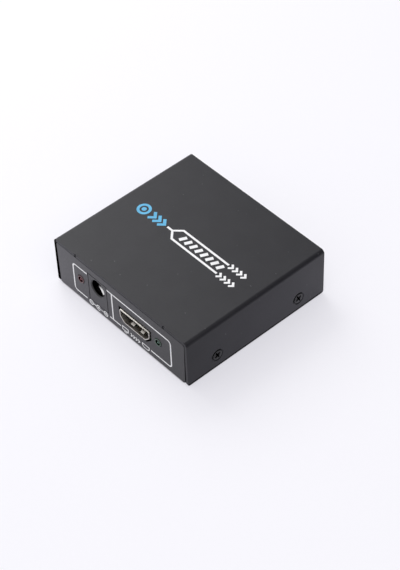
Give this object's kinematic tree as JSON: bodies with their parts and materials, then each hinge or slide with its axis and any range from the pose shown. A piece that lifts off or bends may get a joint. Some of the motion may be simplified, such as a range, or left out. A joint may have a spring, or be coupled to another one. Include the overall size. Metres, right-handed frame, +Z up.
{
  "type": "hdmi splitter",
  "caption": "Small black folded-metal box that copies a video input to its outputs, with a round power socket, indicator lights and countersunk side screws.",
  "frame": {"origin": "on the table under the middle of the case", "axes": "+Z up, -Y out of the front panel with the power socket and the input, +X to the right seen from the front"},
  "size_m": [0.0666, 0.0618, 0.02],
  "materials": {
    "cover_coat": "fine matt powder coat",
    "tray_coat": "fine matt powder coat",
    "screw_black": "black oxide",
    "port_plating": "nickel plated",
    "port_insulator": "moulded",
    "contact_gold": "gold flash",
    "jack_plastic": "moulded",
    "jack_contact": "silver plated",
    "terminal_tin": "tinned",
    "red_lens": "tinted clear resin",
    "green_lens": "tinted clear resin",
    "board_mask": "solder mask",
    "standoff_brass": "turned",
    "board_screw_steel": "zinc plated",
    "chip_resin": "moulded resin",
    "can_aluminium": "drawn",
    "inductor_ferrite": "pressed",
    "resistor_film": "glazed",
    "capacitor_ceramic": "fired"
  },
  "bodies": {
    "case": {"base_tray": "tray_coat", "top_cover": "cover_coat", "circuit_board": "board_mask", "board_standoffs": "standoff_brass", "board_screws": "board_screw_steel", "input_port_shell": "port_plating", "input_port_insulator": "port_insulator", "input_port_contacts": "contact_gold", "output_port_1_shell": "port_plating", "output_port_1_insulator": "port_insulator", "output_port_1_contacts": "contact_gold", "output_port_2_shell": "port_plating", "output_port_2_insulator": "port_insulator", "output_port_2_contacts": "contact_gold", "power_jack_housing": "jack_plastic", "power_jack_pin": "jack_contact", "power_jack_terminals": "terminal_tin", "power_led": "red_lens", "power_led_leads": "terminal_tin", "input_led": "green_lens", "input_led_leads": "terminal_tin", "output_led_1": "green_lens", "output_led_1_leads": "terminal_tin", "output_led_2": "green_lens", "output_led_2_leads": "terminal_tin", "splitter_chip": "chip_resin", "splitter_chip_pins": "terminal_tin", "memory_chips": "chip_resin", "memory_chip_pins": "terminal_tin", "regulator": "chip_resin", "regulator_pins": "terminal_tin", "capacitor_cans": "can_aluminium", "capacitor_bases": "chip_resin", "power_inductor": "inductor_ferrite", "crystal": "can_aluminium", "protection_arrays": "chip_resin", "chip_resistors": "resistor_film", "chip_capacitors": "capacitor_ceramic"},
    "cover_screw_right_front": {"cover_screw_right_front": "screw_black"},
    "cover_screw_right_back": {"cover_screw_right_back": "screw_black"},
    "cover_screw_left_front": {"cover_screw_left_front": "screw_black"},
    "cover_screw_left_back": {"cover_screw_left_back": "screw_black"},
    "power_jack_spring": {"power_jack_spring": "jack_contact"}
  },
  "joints": [
    {"name": "cover_screw_right_front_draw", "type": "slide", "parent": "case", "child": "cover_screw_right_front", "axis": [1, 0, 0], "range_m": [0, 0.0044]},
    {"name": "cover_screw_right_back_draw", "type": "slide", "parent": "case", "child": "cover_screw_right_back", "axis": [1, 0, 0], "range_m": [0, 0.0044]},
    {"name": "cover_screw_left_front_draw", "type": "slide", "parent": "case", "child": "cover_screw_left_front", "axis": [-1, 0, 0], "range_m": [0, 0.0044]},
    {"name": "cover_screw_left_back_draw", "type": "slide", "parent": "case", "child": "cover_screw_left_back", "axis": [-1, 0, 0], "range_m": [0, 0.0044]},
    {"name": "power_jack_spring_flex", "type": "hinge", "parent": "case", "child": "power_jack_spring", "pos_m": [-0.01204, -0.0192, 0.00865], "axis": [0.9703, 0, -0.2419], "range_deg": [0, 4], "stiffness_Nm_per_rad": 0.08}
  ]
}
